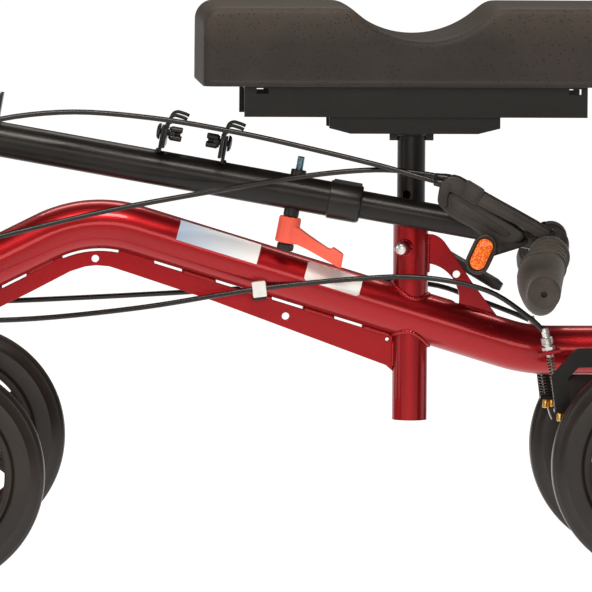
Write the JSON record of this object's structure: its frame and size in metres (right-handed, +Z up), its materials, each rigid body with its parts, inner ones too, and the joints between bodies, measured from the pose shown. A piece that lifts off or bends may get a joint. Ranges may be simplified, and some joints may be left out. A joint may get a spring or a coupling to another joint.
{
  "type": "knee scooter",
  "caption": "Folding steerable knee scooter with a padded knee rest, hand brake to both rear wheels, and a height-adjustable handlebar, stored with its column folded back.",
  "frame": {"origin": "centre of the object's box on the ground, in the frame's middle plane", "axes": "+X to the rear, +Y to the rider's left, +Z up"},
  "size_m": [0.8662, 0.4612, 0.5124],
  "materials": {
    "red_frame": "candy metallic red gloss",
    "black_paint": "semi-gloss black powder coat",
    "black_plastic": "satin moulded",
    "rubber": "matte",
    "tyre": "satin",
    "rim": "satin moulded",
    "pad": "grained foam skin",
    "steel": "satin",
    "zinc": "bright zinc",
    "brass": "satin",
    "orange_lever": "satin",
    "amber": "prismatic lens",
    "white_plastic": "satin",
    "cable": "satin"
  },
  "bodies": {
    "frame": {"main_tube": "red_frame", "lower_gusset": "red_frame", "rear_gusset": "red_frame", "seat_socket": "red_frame", "head_tube": "red_frame", "headset_cups": "black_plastic", "rear_axle_bracket": "red_frame", "rear_axle": "steel", "rear_axle_nuts": "zinc", "cable_stop_bracket": "red_frame", "cable_adjusters": "zinc", "cable_clip": "white_plastic", "seat_locating_screw": "zinc", "brake_pivot_bolts": "zinc", "brake_cable_right": "cable", "brake_cable_left": "cable", "brake_spring_right": "steel", "brake_spring_left": "steel"},
    "seat": {"seat_post": "black_paint", "seat_plate": "black_paint", "seat_channel": "black_paint", "seat_pad": "pad", "seat_bolts": "zinc"},
    "seat_lever": {"seat_clamp_lever": "black_plastic"},
    "rear_wheel_right": {"rear_tyre_right": "tyre", "rear_rim_right": "rim", "wheel_bearings_rr": "steel"},
    "rear_wheel_left": {"rear_tyre_left": "tyre", "rear_rim_left": "rim", "wheel_bearings_rl": "steel"},
    "fork": {"steering_stem": "black_paint", "front_axle_beam": "red_frame", "front_axle": "steel", "front_axle_nuts": "zinc", "fold_yoke": "black_paint", "fold_pin": "zinc"},
    "front_wheel_right": {"front_tyre_right": "tyre", "front_rim_right": "rim", "wheel_bearings_fr": "steel"},
    "front_wheel_left": {"front_tyre_left": "tyre", "front_rim_left": "rim", "wheel_bearings_fl": "steel"},
    "plunger": {"fold_plunger": "zinc"},
    "column": {"outer_column": "black_paint", "column_foot": "black_paint", "column_collar": "black_plastic", "basket_hooks": "black_paint", "column_fasteners": "black_plastic"},
    "column_lever": {"column_clamp_lever": "orange_lever"},
    "handlebar": {"inner_column": "black_paint", "handlebar_tee": "black_paint", "grip_right": "rubber", "grip_left": "rubber", "brake_housing": "black_plastic"},
    "lever": {"brake_lever": "black_plastic", "reflector": "amber"},
    "brake_right": {"brake_arm_right": "black_paint", "cable_nut_right": "brass"},
    "brake_left": {"brake_arm_left": "black_paint", "cable_nut_left": "brass"}
  },
  "joints": [
    {"name": "steering", "type": "hinge", "parent": "frame", "child": "fork", "pos_m": [-0.31354, 0, 0.25], "axis": [0, 0, -1], "range_deg": [-0.5, 45], "deforming": ["brake_cable_right", "brake_cable_left"]},
    {"name": "fold", "type": "hinge", "parent": "fork", "child": "column", "pos_m": [-0.31354, 0, 0.3968], "axis": [-0.0872, -0.9962, 0], "range_deg": [0, 3], "deforming": ["brake_cable_right", "brake_cable_left"]},
    {"name": "column_height", "type": "slide", "parent": "column", "child": "handlebar", "axis": [0.9817, -0.0859, -0.1702], "range_m": [-0.015, 0.1], "deforming": ["brake_cable_right", "brake_cable_left"]},
    {"name": "fold_pull", "type": "slide", "parent": "fork", "child": "plunger", "axis": [0.0872, 0.9962, 0], "range_m": [0, 0.006]},
    {"name": "column_clamp", "type": "hinge", "parent": "column", "child": "column_lever", "pos_m": [-0.00321, -0.02715, 0.30849], "axis": [-0.1696, 0.0148, -0.9854], "range_deg": [0, 150]},
    {"name": "brake_squeeze", "type": "hinge", "parent": "handlebar", "child": "lever", "pos_m": [0.14062, -0.09996, 0.34049], "axis": [-0.0872, -0.9962, 0], "range_deg": [0, 5], "stiffness_Nm_per_rad": 3, "springref_deg": -17.19},
    {"name": "brake_arm_right_pivot", "type": "hinge", "parent": "frame", "child": "brake_right", "pos_m": [0.302, -0.078, 0.198], "axis": [0, 1, 0], "range_deg": [0, 4.2], "deforming": ["brake_spring_right"]},
    {"name": "brake_arm_left_pivot", "type": "hinge", "parent": "frame", "child": "brake_left", "pos_m": [0.302, 0.078, 0.198], "axis": [0, 1, 0], "range_deg": [0, 4.2], "deforming": ["brake_spring_left"]},
    {"name": "seat_height", "type": "slide", "parent": "frame", "child": "seat", "axis": [0, 0, 1], "range_m": [0, 0.072]},
    {"name": "seat_clamp", "type": "hinge", "parent": "frame", "child": "seat_lever", "pos_m": [0.12521, 0.03263, 0.2912], "axis": [0.4226, 0.9063, 0], "range_deg": [-150, 8]},
    {"name": "rear_wheel_right_spin", "type": "hinge", "parent": "frame", "child": "rear_wheel_right", "pos_m": [0.33146, -0.111, 0.1016], "axis": [0, 1, 0], "continuous": true},
    {"name": "rear_wheel_left_spin", "type": "hinge", "parent": "frame", "child": "rear_wheel_left", "pos_m": [0.33146, 0.111, 0.1016], "axis": [0, 1, 0], "continuous": true},
    {"name": "front_wheel_right_spin", "type": "hinge", "parent": "fork", "child": "front_wheel_right", "pos_m": [-0.33132, -0.20322, 0.1016], "axis": [0.0872, 0.9962, 0], "continuous": true},
    {"name": "front_wheel_left_spin", "type": "hinge", "parent": "fork", "child": "front_wheel_left", "pos_m": [-0.29576, 0.20322, 0.1016], "axis": [0.0872, 0.9962, 0], "continuous": true}
  ],
  "couplings": [
    {"joint": "brake_arm_right_pivot", "follows": "brake_squeeze", "ratio": 0.8},
    {"joint": "brake_arm_left_pivot", "follows": "brake_squeeze", "ratio": 0.8}
  ]
}
